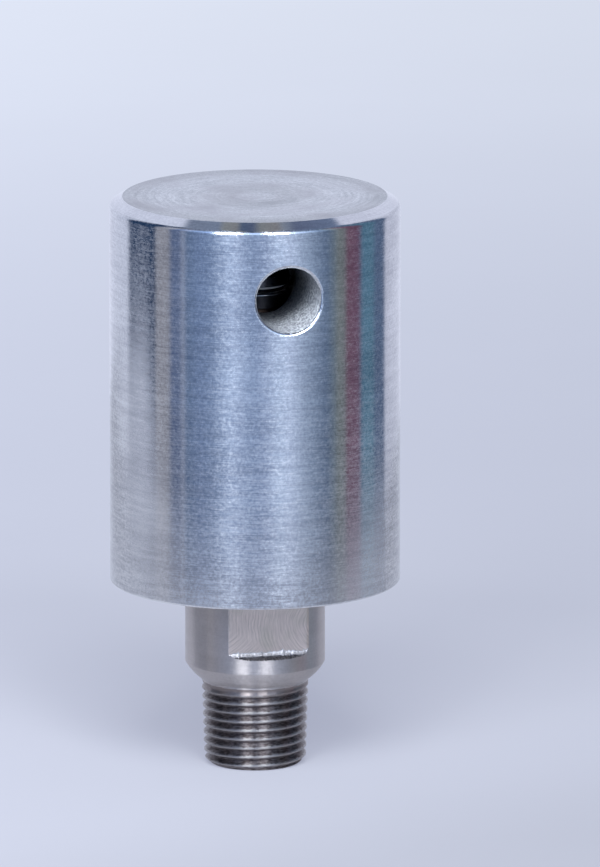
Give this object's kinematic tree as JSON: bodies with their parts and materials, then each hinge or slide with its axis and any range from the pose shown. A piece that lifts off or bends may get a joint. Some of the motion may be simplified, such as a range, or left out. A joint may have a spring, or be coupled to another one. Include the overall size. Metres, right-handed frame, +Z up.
{
  "type": "pressure relief valve",
  "caption": "Dead-weight pressure relief valve: a heavy steel cylinder with a side outlet, lifting and turning on a taper-threaded inlet body with wrench flats.",
  "frame": {"origin": "centre of the inlet's end face, at the bottom of the thread", "axes": "+Z up along the common axis of inlet, riser and weight; -Y out of the side outlet and square to the front wrench flat; +X to the right seen from the front"},
  "size_m": [0.058, 0.058, 0.1155],
  "materials": {
    "bright_steel": "finely turned and polished, with mirror-like vertical reflections",
    "turned_steel": "machined, with fine turning and milling marks",
    "hardened_steel": "ground",
    "spring_steel": "oiled black",
    "bronze": "machined bearing bronze",
    "copper": "soft annealed copper",
    "seal_plastic": "waxy white fluoropolymer"
  },
  "bodies": {
    "nozzle": {"inlet_body": "turned_steel", "joint_ring": "copper", "riser_tube": "turned_steel", "stop_washer": "hardened_steel", "stop_clip": "spring_steel", "seat_gasket": "copper", "seat_ring": "hardened_steel"},
    "valve": {"wing_guide": "turned_steel", "seal_disc": "seal_plastic", "valve_disc": "turned_steel", "swivel_clip": "spring_steel"},
    "weight": {"weight": "bright_steel", "pivot_spindle": "hardened_steel", "lock_nut": "hardened_steel", "bottom_plate": "turned_steel", "plate_screw_1": "hardened_steel", "plate_screw_2": "hardened_steel", "plate_screw_3": "hardened_steel", "plate_screw_4": "hardened_steel", "guide_bush": "bronze"}
  },
  "joints": [
    {"name": "valve_lift", "type": "slide", "parent": "nozzle", "child": "valve", "axis": [0, 0, 1], "range_m": [0, 0.004]},
    {"name": "weight_spin", "type": "hinge", "parent": "valve", "child": "weight", "pos_m": [0, 0, 0.101], "axis": [0, 0, 1], "continuous": true}
  ]
}
